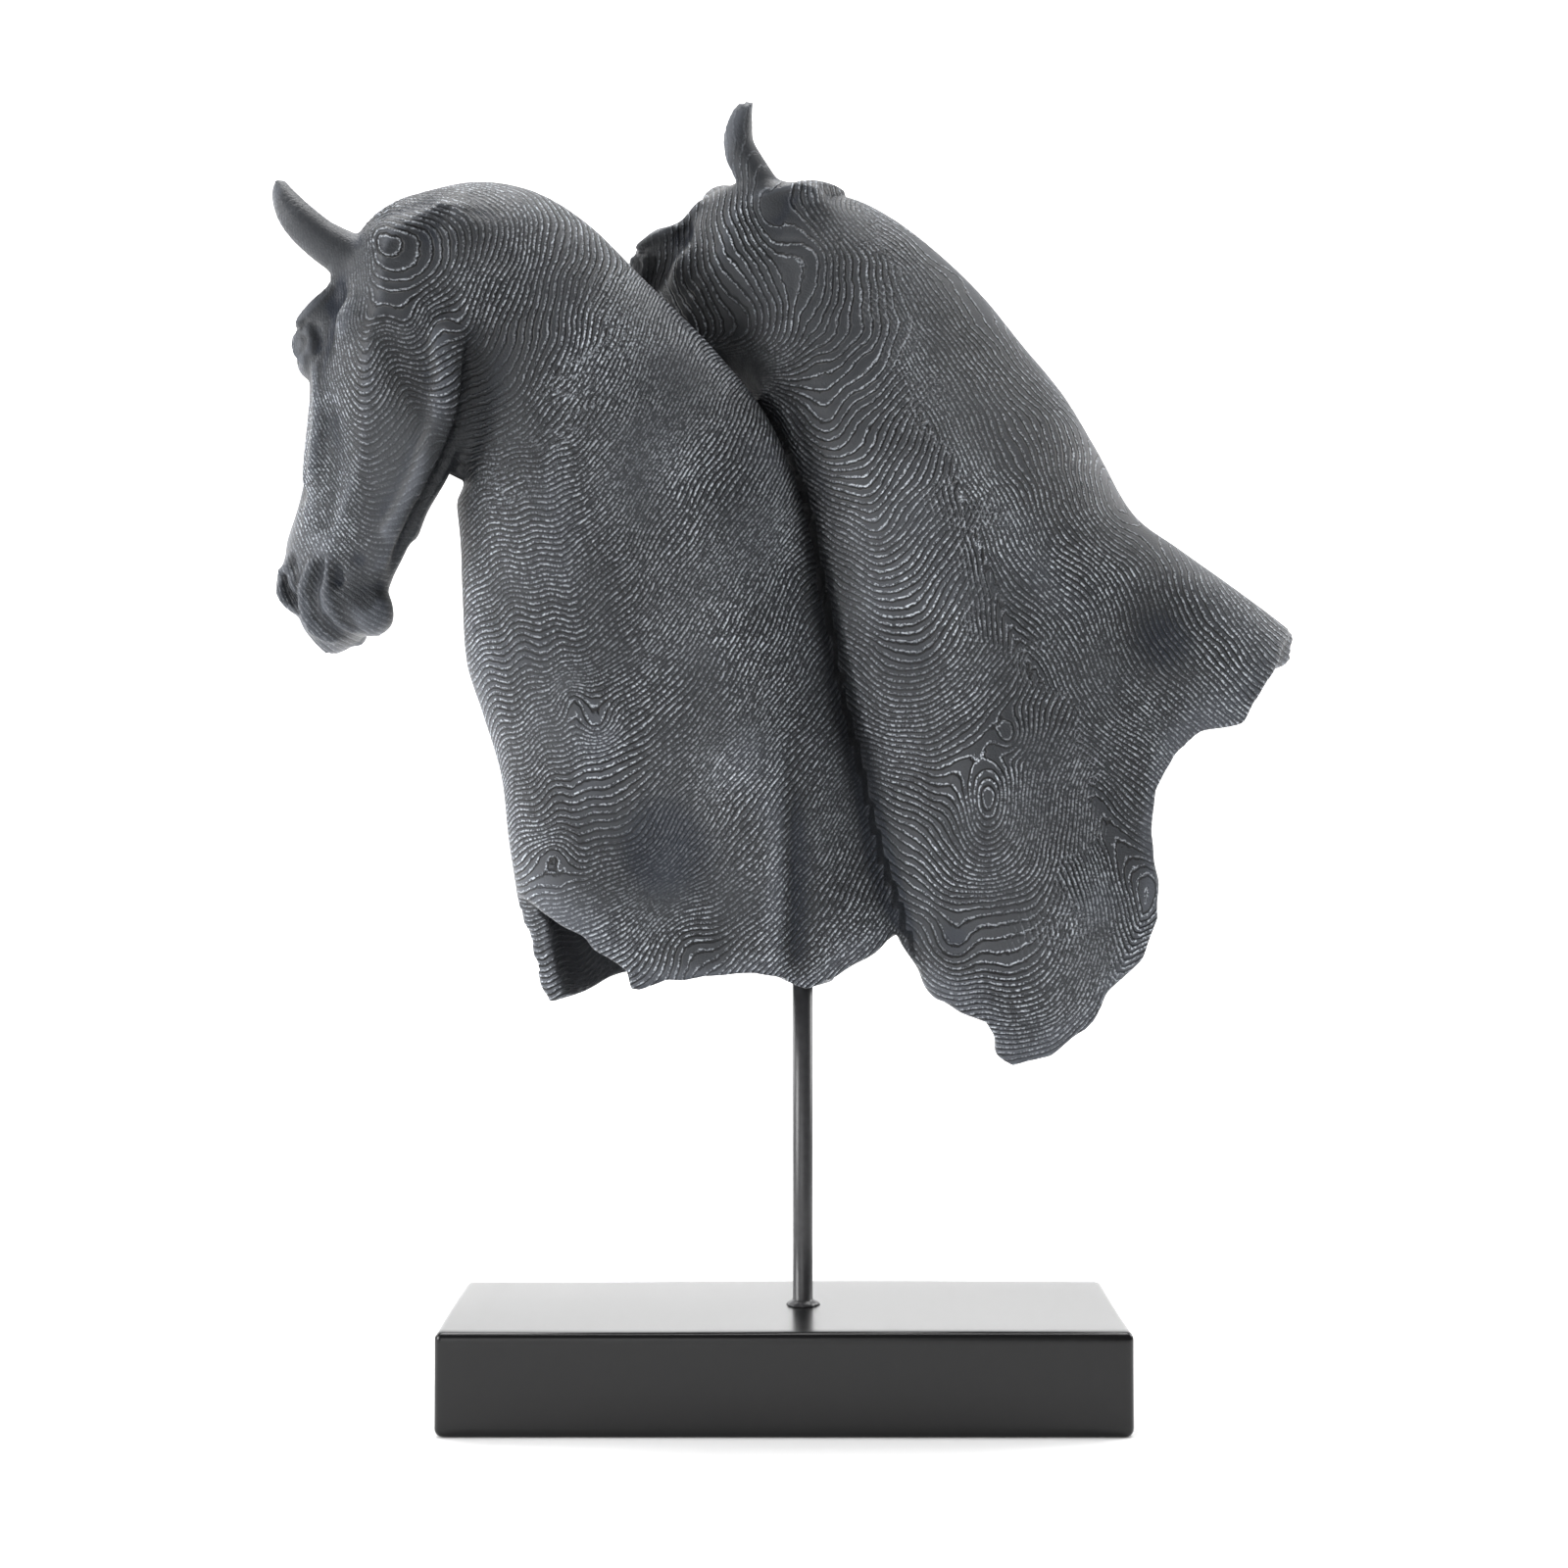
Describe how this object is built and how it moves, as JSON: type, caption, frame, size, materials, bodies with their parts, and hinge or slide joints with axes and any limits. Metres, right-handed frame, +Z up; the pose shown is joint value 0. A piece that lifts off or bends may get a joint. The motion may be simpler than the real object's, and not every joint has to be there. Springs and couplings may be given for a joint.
{
  "type": "horse head sculpture",
  "caption": "Pair of horse heads and necks in one dark ringed casting with torn edges, held by a thin black rod on a low black block.",
  "frame": {"origin": "middle of the block's underside, on the surface that the sculpture stands on", "axes": "+Z up, the way the rod runs; +X to the right along the block's long side; +Y away from the viewer"},
  "size_m": [0.4301, 0.1574, 0.5601],
  "materials": {
    "cast_resin": "dark blue-grey cast resin with fine growth rings, ridges rubbed lighter, satin",
    "black_rod": "black satin paint over steel, chipped near the foot",
    "lacquered_block": "black lacquer, semi-gloss on top and satin on the sides"
  },
  "bodies": {
    "root": {"base_block": "lacquered_block", "support_rod": "black_rod", "horse_heads": "cast_resin"}
  },
  "joints": []
}
